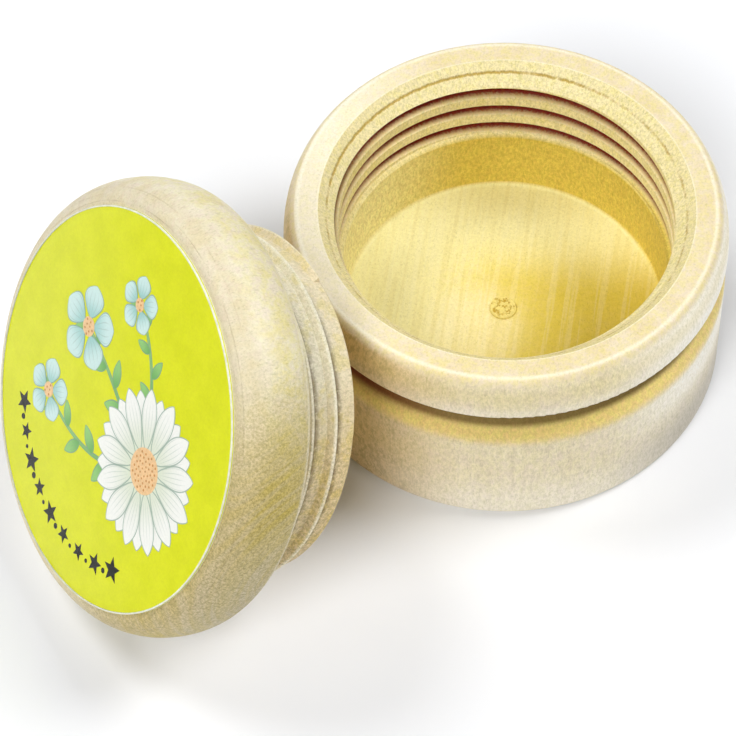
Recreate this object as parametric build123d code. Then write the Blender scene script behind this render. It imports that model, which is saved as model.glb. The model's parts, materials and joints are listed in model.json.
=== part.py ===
from build123d import *
import os
from math import cos, radians, sin, sqrt, tan

# Milk tooth box of turned wood: a jar with a screw thread in its bore and a mushroom-shaped screw lid with
# a round sticker. Millimetres, +Z up, origin at the centre of the jar's base.

# Jar outside
outer_radius = 22.5
jar_height = 22.5
rim_flat_width = 2.05
rim_reach = 1.5
band_height = 5.0
band_straight = 0.7
band_edge_rounding = 0.35
undercut_depth = 1.6
undercut_width = 1.5
shoulder_lean = 36.0
shoulder_rounding = 1.8
base_rounding = 1.4

# Jar inside
wall_thickness = 5.5
lead_in_depth = 2.1
bore_end_clearance = 0.5
cavity_step = 0.4
cavity_corner = 0.5
floor_thickness = 5.0
mark_radius = 1.4
mark_height = 0.25
mark_rounding = 0.15

# Screw thread
pitch = 2.75
thread_depth = 0.7
thread_clearance = 0.2
ridge_tip_width = 0.25
ridge_foot_width = 1.15
first_groove_drop = 3.0
first_groove_azimuth = 90.0
groove_end_azimuth = -30.0
groove_turns = 3.2

# Lid
lid_setback = 0.1
cap_height = 7.5
cap_front_rounding = 4.3
cap_front_reach = 2.5
cap_back_reach = 1.2
neck_height = 1.1
neck_depth = 0.5
ridge_root_depth = 0.4
stub_length = 8.9
stub_edge_rounding = 0.3
ridge_start_setback = 0.43

# Sticker
label_margin = 0.15
adhesive_thickness = 0.08
print_thickness = 0.10
gloss_thickness = 0.14

# Lid lying beside the jar: the azimuth of the label's centre, how much further out in plan it is than with
# the two discs side by side, the way it faces, and where the thread's start lies round the lid, from the
# horizontal
label_azimuth = -144.5467
label_standoff = 0.9249
lid_facing = -150.3
ridge_start_angle = 90.0

band_bottom = jar_height - band_height
undercut_bottom = band_bottom - undercut_width
undercut_radius = outer_radius - undercut_depth
rim_drop = band_height - band_straight
mouth_radius = outer_radius - rim_reach - rim_flat_width
bore_radius = outer_radius - wall_thickness
bore_depth = stub_length + bore_end_clearance
cavity_radius = bore_radius - cavity_step
lid_radius = outer_radius - lid_setback
cap_flat_radius = lid_radius - cap_front_reach
cap_back_radius = lid_radius - cap_back_reach
label_radius = cap_flat_radius - label_margin
label_distance = outer_radius + lid_radius + label_standoff
stub_radius = bore_radius - thread_clearance
ridge_start_drop = stub_length - ridge_start_setback
ridge_radius = stub_radius + thread_depth
groove_radius = ridge_radius + thread_clearance
flank_slope = (ridge_foot_width - ridge_tip_width) / 2 / thread_depth
groove_tip_width = ridge_tip_width + 2 * thread_clearance
cap_widest = cap_height - cap_front_rounding
label_height = cap_height + adhesive_thickness + print_thickness + gloss_thickness

# How far pieces that are joined or cut run past each other
overrun = 0.1
groove_overrun = 0.7


def turned(outline):
    # Full turn of a closed outline drawn in the XZ plane.
    return revolve(make_face(outline), axis=Axis.Z)


def thread_width(tip_radius, tip_width, radius):
    # Width of the thread's section at a radius inside its tip.
    return tip_width + 2 * flank_slope * (tip_radius - radius)


def helical_bar(half_outline, azimuth, height, length):
    # Right-hand helical bar, from its start at an azimuth and height. The section is symmetrical, its
    # upper half given as (radius, half width) from the inside out.
    lower = [(radius, -half) for radius, half in half_outline]
    section = Polygon(*lower, *reversed(half_outline), align=None)
    path = Helix(pitch=pitch, height=length, radius=half_outline[0][0])
    bar = sweep(Plane.XZ * section, path=path, is_frenet=True)
    return Pos(0, 0, height) * Rot(0, 0, azimuth) * bar


def jar_outline():
    # The rim rounds off into the band's side, and the shoulder leans out from the undercut to the body.
    lean = radians(shoulder_lean)
    shoulder_radius = outer_radius - shoulder_rounding * (1 - cos(lean))
    shoulder_top = undercut_bottom - (shoulder_radius - undercut_radius) / tan(lean)
    shoulder_bottom = shoulder_top - shoulder_rounding * sin(lean)
    with BuildLine(Plane.XZ) as line:
        base = Line((0, 0), (outer_radius - base_rounding, 0))
        foot = RadiusArc(base @ 1, (outer_radius, base_rounding), -base_rounding)
        body = Line(foot @ 1, (outer_radius, shoulder_bottom))
        shoulder = RadiusArc(body @ 1, (shoulder_radius, shoulder_top), -shoulder_rounding)
        slope = Line(shoulder @ 1, (undercut_radius, undercut_bottom))
        neck = Line(slope @ 1, (undercut_radius, band_bottom))
        under = Line(neck @ 1, (outer_radius - band_edge_rounding, band_bottom))
        edge = RadiusArc(under @ 1, (outer_radius, band_bottom + band_edge_rounding), -band_edge_rounding)
        Line(edge @ 1, (outer_radius, jar_height - rim_drop))
        EllipticalCenterArc(
            (outer_radius - rim_reach, jar_height - rim_drop), rim_reach, rim_drop, 0, arc_size=90
        )
        top = Line((outer_radius - rim_reach, jar_height), (mouth_radius, jar_height))
        lead_in = Line(top @ 1, (bore_radius, jar_height - lead_in_depth))
        bore = Line(lead_in @ 1, (bore_radius, jar_height - bore_depth))
        ledge = Line(bore @ 1, (cavity_radius, jar_height - bore_depth - cavity_step))
        wall = Line(ledge @ 1, (cavity_radius, floor_thickness + cavity_corner))
        corner = RadiusArc(wall @ 1, (cavity_radius - cavity_corner, floor_thickness), cavity_corner)
        floor = Line(corner @ 1, (0, floor_thickness))
        Line(floor @ 1, (0, 0))
    return line.line


def turning_mark():
    # Low nub left by the lathe at the centre of the jar's floor.
    nub = Cylinder(mark_radius, 2 * mark_height)
    nub = fillet(nub.edges().group_by(Axis.Z)[-1], mark_rounding)
    return Pos(0, 0, floor_thickness) * nub


def jar_groove(first_turn, turns):
    # Stretch of the thread's groove, counted in turns up from its blind end. Inside the bore the section
    # narrows again, so that neighbouring turns stay clear of each other.
    inner_radius = bore_radius - overrun
    inner_width = thread_width(groove_radius, groove_tip_width, inner_radius)
    half_outline = [
        (bore_radius - groove_overrun, inner_width / 2 - overrun * 2),
        (inner_radius, inner_width / 2),
        (groove_radius, groove_tip_width / 2),
    ]
    drop = first_groove_drop + pitch * (2 + (first_groove_azimuth - groove_end_azimuth) / 360)
    azimuth = groove_end_azimuth + 360 * first_turn
    height = jar_height - drop + pitch * first_turn
    return helical_bar(half_outline, azimuth, height, pitch * turns)


def make_jar():
    # The groove is cut in two stretches, the upper one running out through the lead-in.
    jar = turned(jar_outline()) + turning_mark()
    return jar - jar_groove(0, 2) - jar_groove(2, groove_turns - 2)


def cap_outline():
    with BuildLine(Plane.XZ) as line:
        back = Line((0, 0), (cap_back_radius, 0))
        EllipticalCenterArc(
            (cap_back_radius, cap_widest), cap_back_reach, cap_widest, 270, arc_size=90
        )
        EllipticalCenterArc(
            (cap_flat_radius, cap_widest), cap_front_reach, cap_front_rounding, 0, arc_size=90
        )
        flat = Line((cap_flat_radius, cap_height), (0, cap_height))
        Line(flat @ 1, back @ 0)
    return line.line


def stub_outline():
    # Stub under the cap's seat, rounded at its free end.
    with BuildLine(Plane.XZ) as line:
        top = Line((0, overrun), (stub_radius, overrun))
        side = Line(top @ 1, (stub_radius, stub_edge_rounding - stub_length))
        edge = RadiusArc(side @ 1, (stub_radius - stub_edge_rounding, -stub_length), stub_edge_rounding)
        end = Line(edge @ 1, (0, -stub_length))
        Line(end @ 1, top @ 0)
    return line.line


def ridge_start_azimuth():
    # Azimuth of the ridge's blunt start with the lid screwed home, where it fits the jar's groove.
    return first_groove_azimuth + 360 * (first_groove_drop - ridge_start_drop) / pitch


def lid_ridge():
    # Ridge of the thread, from its blunt start by the stub's free end up to the neck.
    foot_radius = stub_radius - ridge_root_depth
    foot_width = thread_width(ridge_radius, ridge_tip_width, foot_radius)
    half_outline = [(foot_radius, foot_width / 2), (ridge_radius, ridge_tip_width / 2)]
    bar = helical_bar(half_outline, ridge_start_azimuth(), -ridge_start_drop, ridge_start_drop)
    with BuildLine(Plane.XZ) as line:
        top = Line((0, -neck_height), (stub_radius, -neck_height))
        run_out = Line(top @ 1, (ridge_radius + overrun, -neck_height - thread_depth))
        side = Line(run_out @ 1, (ridge_radius + overrun, -stub_length + thread_depth + overrun))
        chamfer = Line(side @ 1, (stub_radius - stub_edge_rounding, -stub_length))
        end = Line(chamfer @ 1, (0, -stub_length))
        Line(end @ 1, top @ 0)
    return bar & turned(line.line)


def make_lid():
    neck = Cylinder(ridge_radius, neck_height, align=(Align.CENTER, Align.CENTER, Align.MAX))
    neck -= Cylinder(stub_radius - neck_depth, neck_height, align=(Align.CENTER, Align.CENTER, Align.MAX))
    stub = turned(stub_outline()) - neck
    return turned(cap_outline()) + stub + lid_ridge()


def label_layer(bottom, thickness):
    disc = Cylinder(label_radius, thickness, align=(Align.CENTER, Align.CENTER, Align.MIN))
    return Pos(0, 0, bottom) * disc


def lean_and_height():
    # Tilt at which the cap's back rounding and the stub's free edge touch one floor, and the height of
    # the label's centre there.
    low, high = 0.0, 60.0
    while high - low > 1e-9:
        lean = (low + high) / 2
        c, s = cos(radians(lean)), sin(radians(lean))
        rounding = sqrt((cap_back_reach * c) ** 2 + (cap_widest * s) ** 2)
        cap_reach = cap_back_radius * c + (label_height - cap_widest) * s + rounding
        stub_reach = (stub_radius - stub_edge_rounding) * c
        stub_reach += (label_height + stub_length - stub_edge_rounding) * s + stub_edge_rounding
        if stub_reach > cap_reach:
            high = lean
        else:
            low = lean
    return lean, cap_reach


def lying():
    # Placement of the lid, from its seat on the jar's rim to where it lies on its side.
    lean, height = lean_and_height()
    facing = radians(lid_facing)
    normal = Vector(
        cos(radians(lean)) * cos(facing), cos(radians(lean)) * sin(facing), sin(radians(lean))
    )
    azimuth = radians(label_azimuth)
    centre = Vector(label_distance * cos(azimuth), label_distance * sin(azimuth), height)
    sideways = Vector(-sin(facing), cos(facing), 0)
    place = Plane(origin=centre - normal * label_height, x_dir=sideways, z_dir=normal)
    return place.location * Rot(0, 0, ridge_start_angle - ridge_start_azimuth())


def main():
    where = lying()
    adhesive_bottom = cap_height
    print_bottom = adhesive_bottom + adhesive_thickness
    gloss_bottom = print_bottom + print_thickness
    pieces = {
        "jar": make_jar(),
        "lid": where * make_lid(),
        "label_adhesive": where * label_layer(adhesive_bottom, adhesive_thickness),
        "label_print": where * label_layer(print_bottom, print_thickness),
        "label_gloss": where * label_layer(gloss_bottom, gloss_thickness),
    }
    os.makedirs("parts", exist_ok=True)
    for name, piece in pieces.items():
        export_step(piece, f"parts/{name}.step")


main()
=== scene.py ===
import json
import math

import bmesh
import bpy
from bpy.props import FloatProperty, FloatVectorProperty, IntProperty, PointerProperty
from mathutils import Matrix, Vector


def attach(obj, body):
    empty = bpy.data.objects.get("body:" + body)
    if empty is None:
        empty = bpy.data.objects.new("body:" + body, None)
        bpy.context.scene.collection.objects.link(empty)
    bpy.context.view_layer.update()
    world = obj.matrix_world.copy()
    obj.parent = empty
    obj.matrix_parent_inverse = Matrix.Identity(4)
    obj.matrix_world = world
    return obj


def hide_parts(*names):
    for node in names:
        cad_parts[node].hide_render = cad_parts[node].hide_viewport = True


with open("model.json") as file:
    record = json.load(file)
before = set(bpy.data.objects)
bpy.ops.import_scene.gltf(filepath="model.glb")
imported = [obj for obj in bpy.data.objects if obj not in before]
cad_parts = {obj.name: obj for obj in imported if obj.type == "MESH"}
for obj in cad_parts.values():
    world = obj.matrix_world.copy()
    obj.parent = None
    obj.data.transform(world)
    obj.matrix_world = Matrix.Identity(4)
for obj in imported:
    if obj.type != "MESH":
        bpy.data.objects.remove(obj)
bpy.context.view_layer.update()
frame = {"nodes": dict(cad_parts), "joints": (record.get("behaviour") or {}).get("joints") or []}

bl_info = {
    "name": "Milk Tooth Box",
    "version": (1, 0, 0),
    "blender": (4, 5, 0),
    "location": "3D View > Sidebar > Tooth Box",
    "description": "Dresses a turned wooden screw jar and its stickered lid, on a pale table",
    "category": "Object",
}

MM = 0.001

# The sticker's radius and the heights of its layers above the lid's seat, in millimetres
STICKER_RADIUS = 19.75
ADHESIVE_BOTTOM = 7.5
PRINT_BOTTOM = 7.58
PRINT_TOP = 7.68
STICKER_TOP = 7.82
STICKER_SEGMENTS = 256

# Clearance between two layers of the sticker, in millimetres
LAYER_GAP = 0.005

# The film's rounded edge, its lip and the hollow under it for the ink, in millimetres
FILM_EDGE = 0.06
FILM_LIP = 0.15
FILM_HOLLOW = 0.075

# Ink lies this deep in the print, and its layers lie this far above one another, in millimetres
INK_ROOT = 0.004
INK_STEP = 0.008

# The jar's own radii and heights that its finish follows, in millimetres
BORE_RADIUS = 17.0
MOUTH_RADIUS = 18.95
RIM_CORNER = 21.05
RIM_TOP = 22.5
SIDE_TOP = 22.3
LEAD_IN_BOTTOM = 20.4
LEDGE = 12.9
FLOOR = 5.0
BAND_BOTTOM = 17.5
SHOULDER_BOTTOM = 13.2
TORN_RADIUS = 17.87

# Radii of the lid's stub between the turns of its ridge and on their crests, in millimetres
STUB_RADIUS = 16.6
CREST_RADIUS = 17.4

# Radii of the turning lines round the sticker and their half widths, in millimetres
LID_RINGS = ((20.15, 0.09), (20.75, 0.07), (21.45, 0.06))

# The screw thread's pitch, how far below the lid's seat its ridge starts, and the height of
# the jar's groove at the back, in millimetres
PITCH = 2.75
RIDGE_START = 8.47
GROOVE_HEIGHT = 14.0

# Whole turns that keep a thread's count of turns above zero
SPARE_TURNS = 8.0

# Depth of the wood's lines and pores, in millimetres
RELIEF_DEPTH = 0.03

# How far the artwork's upright is turned from the lid's own axes
ARTWORK_TURN = math.radians(40)

# Most petals that a flower has in one row
SINGLE_ROW = 8

# The large flower's centre on the artwork's upright axes and its heart's radius, in millimetres
LARGE_FLOWER = ((5.6, -5.2), 2.3)

# Each small flower's centre, its reach and its heart's radius, in millimetres
SMALL_FLOWERS = (((-4.4, 7.6), 4.3, 1.0), ((-11.2, 0.6), 3.3, 0.8), ((4.2, 10.6), 3.0, 0.7))

# Each stem's start, middle and end, its number of leaves and their length, in millimetres
STEMS = (
    ((3.0, -2.0), (-1.0, 4.5), (-4.4, 7.6), 6, 3.4),
    ((1.5, -5.5), (-6.0, -5.5), (-11.2, 0.6), 7, 3.4),
    ((6.0, -1.0), (7.5, 5.5), (4.2, 10.6), 6, 2.8),
)

# The arc of stars with dots between them: radii in millimetres, first star and step
STARS = 9
STAR_ARC = 15.6
DOT_ARC = 15.9
FIRST_STAR = math.radians(184)
STAR_STEP = math.radians(11)

# The lamps' directions, in degrees round from X and up from the table
LAMPS = (("front", 249, 46), ("right", 16, 52), ("back", 151, 57))

# Half the table's side in metres, and how much it glows where it is seen directly
TABLE_HALF = 1.5
TABLE_GLOW = 0.01

# Camera that sees the jar and the lid from the front, looking down
CAMERA_PLACE = (0.0, -0.22284405, 0.31124946)
CAMERA_RIGHT = (0.99867463, 0.05066169, -0.00907628)
CAMERA_UP = (-0.03625077, 0.81755847, 0.57470343)
CAMERA_BACK = (0.03653584, -0.57361271, 0.81831143)
CAMERA_LENS = 177.834
SENSOR_WIDTH = 36.0


def tone(red, green, blue):
    """Linear colour of an 8-bit screen colour."""
    shares = [value / 255 for value in (red, green, blue)]
    return tuple(s / 12.92 if s <= 0.04045 else ((s + 0.055) / 1.055) ** 2.4 for s in shares)


def lid_place():
    """Matrix from the lid's own axes, with its seat at the origin, to where it lies."""
    joint = next(j for j in frame["joints"] if j["name"] == "lid_turn")
    normal = Vector(joint["axis"]).normalized()
    sideways = Vector((-normal.y, normal.x, 0)).normalized()
    upward = normal.cross(sideways)
    seat = Vector(joint["pos_m"]) - normal * STICKER_TOP * MM
    turn = Matrix((sideways, upward, normal)).transposed()
    return Matrix.Translation(seat) @ turn.to_4x4()


class Value:
    """Output of a node, which takes plain arithmetic."""

    def __init__(self, graph, socket):
        self.graph = graph
        self.socket = socket

    def math(self, operation, *others):
        return self.graph.math(operation, self, *others)

    def __add__(self, other):
        return self.math("ADD", other)

    def __sub__(self, other):
        return self.math("SUBTRACT", other)

    def __rsub__(self, other):
        return self.graph.math("SUBTRACT", other, self)

    def __mul__(self, other):
        return self.math("MULTIPLY", other)

    def __truediv__(self, other):
        return self.math("DIVIDE", other)

    def __rtruediv__(self, other):
        return self.graph.math("DIVIDE", other, self)

    def __abs__(self):
        return self.math("ABSOLUTE")

    def or_more(self, other):
        """The larger of two values."""
        return self.math("MAXIMUM", other)

    def ramp(self, low, high):
        """0 at low, 1 at high, smooth between."""
        inputs = {"Value": self, "From Min": low, "From Max": high}
        return self.graph.out("ShaderNodeMapRange", inputs, interpolation_type="SMOOTHSTEP")

    def near(self, centre, reach):
        """1 at the centre, falling to 0 at a distance either side."""
        return abs(self - centre).ramp(reach, 0.0)

    def between(self, first, second):
        """Colour from the first, where this is 0, to the second, where it is 1."""
        inputs = {0: self, 6: colour(first), 7: colour(second)}
        return self.graph.out("ShaderNodeMix", inputs, 2, data_type="RGBA")

    def vector_math(self, operation, other):
        return self.graph.out("ShaderNodeVectorMath", {0: self, 1: other}, operation=operation)

    def parts(self):
        node = self.graph.add("ShaderNodeSeparateXYZ", {0: self})
        return [Value(self.graph, socket) for socket in node.outputs]

    def noise(self, scale, detail, roughness):
        inputs = {"Vector": self, "Scale": scale, "Detail": detail, "Roughness": roughness}
        return self.graph.out("ShaderNodeTexNoise", inputs)

    def clouds(self, scale, detail, roughness):
        """Noise spread out from 0 to 1."""
        return self.noise(scale, detail, roughness).ramp(0.3, 0.7)


def colour(value):
    """A node's colour as it is, or a plain colour made opaque."""
    return value if isinstance(value, Value) else (*value, 1.0)


class Graph:
    """Node tree with short calls that add and link its nodes."""

    def __init__(self, tree):
        self.tree = tree

    def fill(self, node, inputs):
        """Links a node's inputs to values, or sets them to plain ones."""
        for key, value in inputs.items():
            if isinstance(value, Value):
                self.tree.links.new(value.socket, node.inputs[key])
            else:
                node.inputs[key].default_value = value

    def add(self, kind, inputs=None, **settings):
        node = self.tree.nodes.new(kind)
        for name, value in settings.items():
            setattr(node, name, value)
        self.fill(node, inputs or {})
        return node

    def out(self, kind, inputs=None, output=0, **settings):
        """One output of a new node."""
        return Value(self, self.add(kind, inputs, **settings).outputs[output])

    def math(self, operation, *values):
        return self.out("ShaderNodeMath", dict(enumerate(values)), operation=operation)

    def scaled(self, vector, factor):
        return self.out("ShaderNodeVectorMath", {0: vector, "Scale": factor}, operation="SCALE")

    def combine(self, x, y, z):
        return self.out("ShaderNodeCombineXYZ", {0: x, 1: y, 2: z})


def new_tree(name, kind, inputs, outputs):
    """Node tree as a graph, its inputs by name and its last node.

    A socket is given by its default value, or by its kind where it has none.
    """
    tree = bpy.data.node_groups.new(name, kind)
    for direction, sockets in (("INPUT", inputs), ("OUTPUT", outputs)):
        for socket_name, given in sockets.items():
            has_default = not isinstance(given, str)
            number = "Int" if isinstance(given, int) else "Float"
            socket_type = "NodeSocket" + (number if has_default else given)
            socket = tree.interface.new_socket(
                socket_name, in_out=direction, socket_type=socket_type
            )
            if has_default:
                socket.default_value = given
    graph = Graph(tree)
    sockets = graph.add("NodeGroupInput").outputs
    source = {name: Value(graph, sockets[name]) for name in inputs}
    return graph, source, graph.add("NodeGroupOutput")


def use_group(graph, name, inputs):
    """Outputs of a shared group placed in a material with its own values."""
    node = graph.add("ShaderNodeGroup", inputs, node_tree=bpy.data.node_groups[name])
    return [Value(graph, socket) for socket in node.outputs]


def make_turned_coordinates():
    """Radius, height and angle round the lathe's axis, in millimetres and radians."""
    outputs = dict.fromkeys(("Radius", "Height", "Angle"), "Float")
    inputs = {"Vector": "Vector"}
    graph, source, end = new_tree("turned_coordinates", "ShaderNodeTree", inputs, outputs)
    x, y, z = source["Vector"].parts()
    flat = graph.combine(x, y, 0.0)
    radius = graph.out("ShaderNodeVectorMath", {0: flat}, "Value", operation="LENGTH")
    graph.fill(end, {"Radius": radius, "Height": z, "Angle": y.math("ARCTAN2", x)})


def make_wood_figure():
    """Growth lines across a vector's X, soft patches, mottles, fine specks and short dark pores."""
    graph, source, end = new_tree(
        "wood_figure",
        "ShaderNodeTree",
        {
            "Vector": "Vector", "Line Vector": "Vector", "Line Width": 0.5, "Line Length": 16.0,
            "Patch Size": 3.0, "Mottle Size": 1.0, "Speck Size": 0.26,
        },
        dict.fromkeys(("Growth", "Patch", "Mottle", "Speck", "Pore"), "Float"),
    )
    vector = source["Vector"]
    lines = graph.combine(source["Line Width"], source["Line Length"], source["Line Length"])
    growth = source["Line Vector"].vector_math("DIVIDE", lines).noise(1.0, 3.0, 0.6)
    pores = vector.vector_math("DIVIDE", (0.14, 0.22, 0.55)).noise(1.0, 1.0, 0.5)
    graph.fill(end, {"Growth": growth.ramp(0.34, 0.66), "Pore": pores.ramp(0.56, 0.74)})
    for name, seed, fineness, low, high in (
        ("Patch", 0.0, 0.65, 0.34, 0.66),
        ("Mottle", 31.0, 0.7, 0.36, 0.64),
        ("Speck", 7.0, 0.85, 0.32, 0.68),
    ):
        shifted = vector.vector_math("ADD", (seed, seed, seed))
        cloud = graph.scaled(shifted, 1.0 / source[name + " Size"]).noise(1.0, 3.0, fineness)
        graph.fill(end, {name: cloud.ramp(low, high)})


def make_turning_lines():
    """Fine rings left by the lathe, as a pattern over radius and height alone."""
    inputs = {"Radius": 0.0, "Height": 0.0, "Spacing": 0.4}
    graph, source, end = new_tree("turning_lines", "ShaderNodeTree", inputs, {"Lines": "Float"})
    across, along = (source[name] / source["Spacing"] for name in ("Radius", "Height"))
    lines = graph.combine(across, along, 0.0).noise(1.0, 2.0, 0.6)
    graph.fill(end, {"Lines": lines.ramp(0.3, 0.7)})


def new_material(name):
    """Material with an empty Principled surface, and its graph."""
    material = bpy.data.materials.new(name)
    material.use_nodes = True
    material.node_tree.nodes.clear()
    graph = Graph(material.node_tree)
    surface = graph.add("ShaderNodeBsdfPrincipled", {"Specular IOR Level": 0.3})
    graph.add("ShaderNodeOutputMaterial", {"Surface": Value(graph, surface.outputs[0])})
    return material, graph, surface


def own_vector(graph, place=None):
    """Object coordinates in millimetres, on the piece's own axes where it lies elsewhere."""
    vector = graph.out("ShaderNodeTexCoord", None, "Object")
    if place is not None:
        back = place.inverted()
        inputs = {"Vector": vector, "Location": back.translation, "Rotation": back.to_euler()}
        vector = graph.out("ShaderNodeMapping", inputs)
    return graph.scaled(vector, 1 / MM)


def wood_surface(graph, surface, whole, sheen, relief):
    """Sets a turned surface's colour, its roughness and the relief of its lines and pores."""
    bump = {"Height": relief, "Distance": RELIEF_DEPTH * MM, "Strength": 0.6}
    normal = graph.out("ShaderNodeBump", bump)
    graph.fill(surface, {"Base Color": whole, "Roughness": sheen, "Normal": normal})


def wood_marks(graph, wood, vector, figure):
    """The lathe's coordinates, the wood's own figure and the turning lines."""
    lathe = use_group(graph, "turned_coordinates", {"Vector": vector})
    spacing = {"Radius": lathe[0], "Height": lathe[1], "Spacing": wood.turning_spacing}
    lines = use_group(graph, "turning_lines", spacing)[0]
    return lathe, use_group(graph, "wood_figure", figure), lines


def stained(base, *layers):
    """Colour under layers of (mask, strength, shade)."""
    for mask, strength, shade in layers:
        base = (mask * strength).between(base, shade)
    return base


def grained(graph, base, speck, pore, speck_depth, pore_depth):
    """Colour made paler by light specks, and darker and browner by dark specks and pores."""
    level = (speck - 0.5) * speck_depth + 1.0 - pore * pore_depth
    tint = graph.combine(level, level, level.math("POWER", 1.45))
    return base.vector_math("MULTIPLY", tint)


def jar_places(radius, height):
    """Masks of the inside, floor, wall and undercut, and the groove's depth in millimetres."""
    inside = radius.ramp(MOUTH_RADIUS + 0.1, MOUTH_RADIUS - 0.1) * height.ramp(1.0, 2.0)
    floor = inside * height.ramp(FLOOR + 0.5, FLOOR + 0.1)
    wall = inside * height.ramp(LEDGE + 0.3, LEDGE - 0.3) * height.ramp(FLOOR, FLOOR + 0.4)
    slope = (MOUTH_RADIUS - BORE_RADIUS) / (RIM_TOP - LEAD_IN_BOTTOM)
    uncut = (height - LEAD_IN_BOTTOM).or_more(0.0) * slope + BORE_RADIUS
    depth = (radius - uncut) * inside * height.ramp(21.5, 20.8)
    undercut = (1.0 - inside) * height.ramp(SHOULDER_BOTTOM - 0.9, SHOULDER_BOTTOM + 1.0)
    undercut = undercut * height.ramp(BAND_BOTTOM + 0.12, BAND_BOTTOM - 0.02)
    return inside, floor, wall, undercut, depth


def thread_phase(height, angle, start):
    """Distance in millimetres up from the last turn of a thread that has a height at the back."""
    turns = (angle - math.pi / 2) / (2 * math.pi)
    above = (height - start) / PITCH
    return (above - turns + SPARE_TURNS).math("FRACT") * PITCH


def painted_rim_highlights(radius, height):
    """Painted highlights on the rim's two corners, as paler wood."""
    top = height.ramp(RIM_TOP - 0.5, RIM_TOP - 0.2)
    corner = radius.near(RIM_CORNER, 0.36) * top
    return corner.or_more(radius.near(MOUTH_RADIUS, 0.16) * top)


def torn_ring(graph, radius, height, angle):
    """Thin line of torn fibres round the lead-in, strongest at the back left."""
    jag = graph.combine(angle * 22.0, 0.0, 0.0).noise(1.0, 4.0, 0.85)
    away = abs(radius - (jag * 0.45 + TORN_RADIUS))
    line = away.ramp(0.17, 0.02) * height.ramp(21.0, 21.2)
    amount = graph.combine(angle * 7.0, 4.0, 0.0).noise(1.0, 4.0, 0.8)
    back_left = angle.near(2.1, 1.4)
    return line * (back_left * 0.25 + amount).ramp(0.4, 0.66)


def torn_nub(vector, radius, height):
    """Ragged centre of the floor, and its chips where the wood broke off."""
    ragged = vector.noise(1.1, 2.0, 0.5)
    area = (radius - (ragged * 1.4 + 0.75)).ramp(0.3, -0.3)
    area = area * height.ramp(FLOOR + 0.5, FLOOR + 0.3) * height.ramp(2.0, 3.0)
    bent = vector.noise(1.7, 2.0, 0.65) * 2.2 - 0.2
    arcs = radius.near(bent, 0.28) * ragged.ramp(0.42, 0.56)
    chips = arcs.or_more(vector.noise(1.6, 3.0, 0.65).ramp(0.57, 0.66))
    behind = vector.parts()[1].ramp(-0.2, 0.4)
    return area, area * radius.ramp(1.3, 1.1).or_more(behind) * chips


def round_spot(x, y, place, reach):
    """Soft round mask about a place."""
    across, along = x - place[0], y - place[1]
    away = (across * across + along * along).math("SQRT")
    return away.ramp(reach, reach / 5)


def jar_side(inside, height):
    """Mask of the jar's upright outside, up to its rim."""
    return (1.0 - inside) * height.ramp(SIDE_TOP, SIDE_TOP - 0.8)


def jar_outside(wood, masks, clouds, x, y, radius, height):
    """Colour of the rim, the band, the undercut and the body, with painted light, painted shade and
    painted highlights in it.
    """
    growth, patch, mottle = clouds
    inside, undercut = masks
    side = jar_side(inside, height)
    band = side * height.ramp(BAND_BOTTOM, BAND_BOTTOM + 0.1)
    # The front left faces the lid and gets painted shade; the right gets painted light above and
    # painted shade below
    left = x.ramp(-2.0, -17.0) * y.ramp(8.0, -8.0)
    right = x.ramp(9.0, 20.0)
    return stained(
        patch.between(wood.outside_light, wood.outside_dark),
        (mottle, 0.4, wood.yellow),
        # Painted light: the upright side paler than the rim
        (side, 0.5, wood.side),
        (side * growth, 0.18, wood.streak_and_shade),
        (side * mottle.ramp(0.6, 0.1), 0.22, wood.streak_and_shade),
        (side * patch.ramp(0.5, 0.1), 0.22, wood.rosy),
        # Painted light towards the base and on the right's upper part, painted shade in grey on the
        # right's lower part
        (side * height.ramp(9.0, 0.5), 0.5, wood.foot),
        (side * right * height.ramp(5.0, 11.0), 0.9, wood.foot),
        (side * right * height.ramp(10.0, 3.0), 0.9, wood.grey_shade),
        (band * height.near(20.6, 1.7), 0.32, wood.band),
        # Painted light on the band's lower part
        (band * height.ramp(19.4, 18.2), 0.3, wood.foot),
        # Painted shade on the front left, warmer and mottled
        (side * left, 0.68, wood.warm_tone_and_shade),
        (side * left * mottle.ramp(0.4, 0.9), 0.3, wood.undercut),
        (undercut, 0.9, wood.shoulder),
        (undercut * mottle, 0.5, wood.yellow),
        # Painted shade in the undercut just under the band, darkest on the front left
        (undercut * height.ramp(14.65, 15.3), 0.88, wood.undercut),
        (undercut * left * height.ramp(14.2, 15.2), 0.85, wood.groove),
        # Painted light on the rim's left, and painted highlights on the rim's two corners
        (height.ramp(SIDE_TOP, SIDE_TOP + 0.15) * x.ramp(-8.0, -18.0), 0.5, wood.edge),
        (painted_rim_highlights(radius, height), 0.55, wood.edge),
    )


def jar_inside(wood, masks, clouds, x, y):
    """Colour of the floor, the wall and the lead-in, with painted light on the floor's left and
    back and on the wall's left, and painted shade towards the floor's right.
    """
    growth, patch, mottle = clouds
    floor, wall = masks
    above_wall = 1.0 - floor.or_more(wall)
    return stained(
        patch.between(wood.inside_light, wood.inside_dark),
        (mottle, 0.45, wood.lemon),
        # Painted shade towards the floor's right, painted light on its left and back
        (floor * x.ramp(-8.0, 8.0), 0.75, wood.floor),
        (floor * x.ramp(0.0, -12.0), 0.9, wood.painted_floor_light),
        (floor * y.ramp(2.0, 12.0), 0.85, wood.painted_floor_light),
        (floor * round_spot(x, y, (-3.0, -2.5), 7.5), 0.42, wood.lead_in),
        (floor * growth.ramp(0.55, 0.9), 0.1, wood.edge),
        (floor * growth.ramp(0.4, 0.05), 0.12, wood.floor),
        (wall, 1.0, wood.wall),
        # Painted light on the wall's left
        (wall * x.ramp(-4.0, -15.0), 0.8, wood.painted_floor_light),
        (wall * mottle, 0.2, wood.stain),
        (above_wall, 0.68, wood.lead_in),
        (above_wall * mottle.ramp(0.4, 1.0), 0.2, wood.lemon),
    )


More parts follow.
